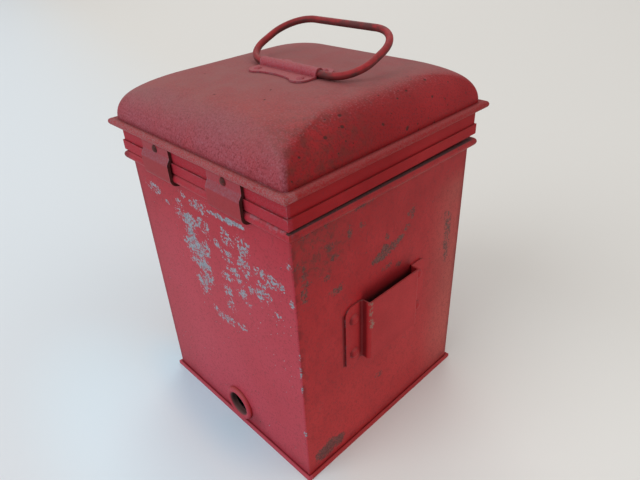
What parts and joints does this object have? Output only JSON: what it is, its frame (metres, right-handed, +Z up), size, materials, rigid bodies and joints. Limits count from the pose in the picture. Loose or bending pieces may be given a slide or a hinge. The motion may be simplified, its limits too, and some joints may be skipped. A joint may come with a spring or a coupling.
{
  "type": "magic lantern",
  "caption": "Square sheet-iron magic lantern with a hinged domed lid, wire carrying handle, bracket socket on one side, and a slide stage with a sliding lens tube on the front.",
  "frame": {"origin": "middle of the floor's underside", "axes": "+Z up, +Y towards the hinges, -Y towards the lens, -X towards the bracket socket"},
  "size_m": [0.1642, 0.2183, 0.2526],
  "materials": {
    "body_paint": "worn satin enamel",
    "base_paint": "worn satin enamel",
    "lid_paint": "dusty pitted enamel",
    "skirt_paint": "dusty satin enamel",
    "hinge_paint": "worn satin enamel",
    "hinge_rivet_paint": "worn dark enamel",
    "handle_paint": "worn satin enamel",
    "saddle_paint": "dusty satin enamel",
    "socket_paint": "worn satin enamel",
    "eyelet_paint": "worn satin enamel",
    "stage_paint": "worn satin enamel",
    "iron_wire": "drawn iron",
    "catch_iron": "dull worn iron",
    "spring_steel": "polished spring",
    "inner_iron": "dull tinned iron",
    "brass": "aged brass",
    "tube_brass": "rubbed brass",
    "cap_brass": "spun brass",
    "lens_glass": "clear polished",
    "bulb_clear": "clear thin",
    "filament": "dull wire",
    "porcelain": "glazed white",
    "silvered_mirror": "slightly tarnished"
  },
  "bodies": {
    "body": {"body_shell": "body_paint", "rim_bead": "body_paint", "rim_wire": "iron_wire", "base_pan": "base_paint", "side_socket": "socket_paint", "socket_rivets": "socket_paint", "inlet_eyelet": "eyelet_paint", "catch_stud": "catch_iron", "condenser_cell": "brass", "cell_rivets": "inner_iron", "condenser_rear_lens": "lens_glass", "condenser_spacer": "brass", "condenser_front_lens": "lens_glass", "condenser_ring": "brass", "slide_stage": "stage_paint", "stage_rivets": "stage_paint", "stage_springs": "spring_steel", "objective_jacket": "brass", "jacket_rivets": "brass", "lamp_bracket": "inner_iron", "bracket_rivets": "inner_iron", "lamp_holder": "porcelain", "bulb_cap": "cap_brass", "bulb_glass": "bulb_clear", "bulb_stem": "bulb_clear", "bulb_filament": "filament", "reflector": "silvered_mirror", "reflector_strip": "inner_iron", "reflector_rivets": "inner_iron"},
    "lid": {"lid_skirt": "skirt_paint", "lid_dome": "lid_paint", "hinge_strap_left": "hinge_paint", "hinge_strap_right": "hinge_paint", "hinge_rivets": "hinge_rivet_paint", "handle_saddle": "saddle_paint", "saddle_rivets": "saddle_paint", "catch_pivot": "catch_iron"},
    "bail": {"handle_bail": "handle_paint"},
    "hook": {"catch_hook": "catch_iron"},
    "objective": {"objective_tube": "tube_brass", "objective_rear_lens": "lens_glass", "objective_front_lens": "lens_glass", "objective_rings": "tube_brass"}
  },
  "joints": [
    {"name": "lid_hinge", "type": "hinge", "parent": "body", "child": "lid", "pos_m": [0, 0.0756, 0.1824], "axis": [-1, 0, 0], "range_deg": [0, 110]},
    {"name": "handle_swing", "type": "hinge", "parent": "lid", "child": "bail", "pos_m": [0, 0.00252, 0.23282], "axis": [1, 0, 0], "range_deg": [-155, 22]},
    {"name": "catch_swing", "type": "hinge", "parent": "lid", "child": "hook", "pos_m": [0, -0.07644, 0.19864], "axis": [0, 0.9999, -0.0105], "range_deg": [-60, 30]},
    {"name": "objective_focus", "type": "slide", "parent": "body", "child": "objective", "axis": [0, -1, 0], "range_m": [-0.003, 0.02]}
  ]
}
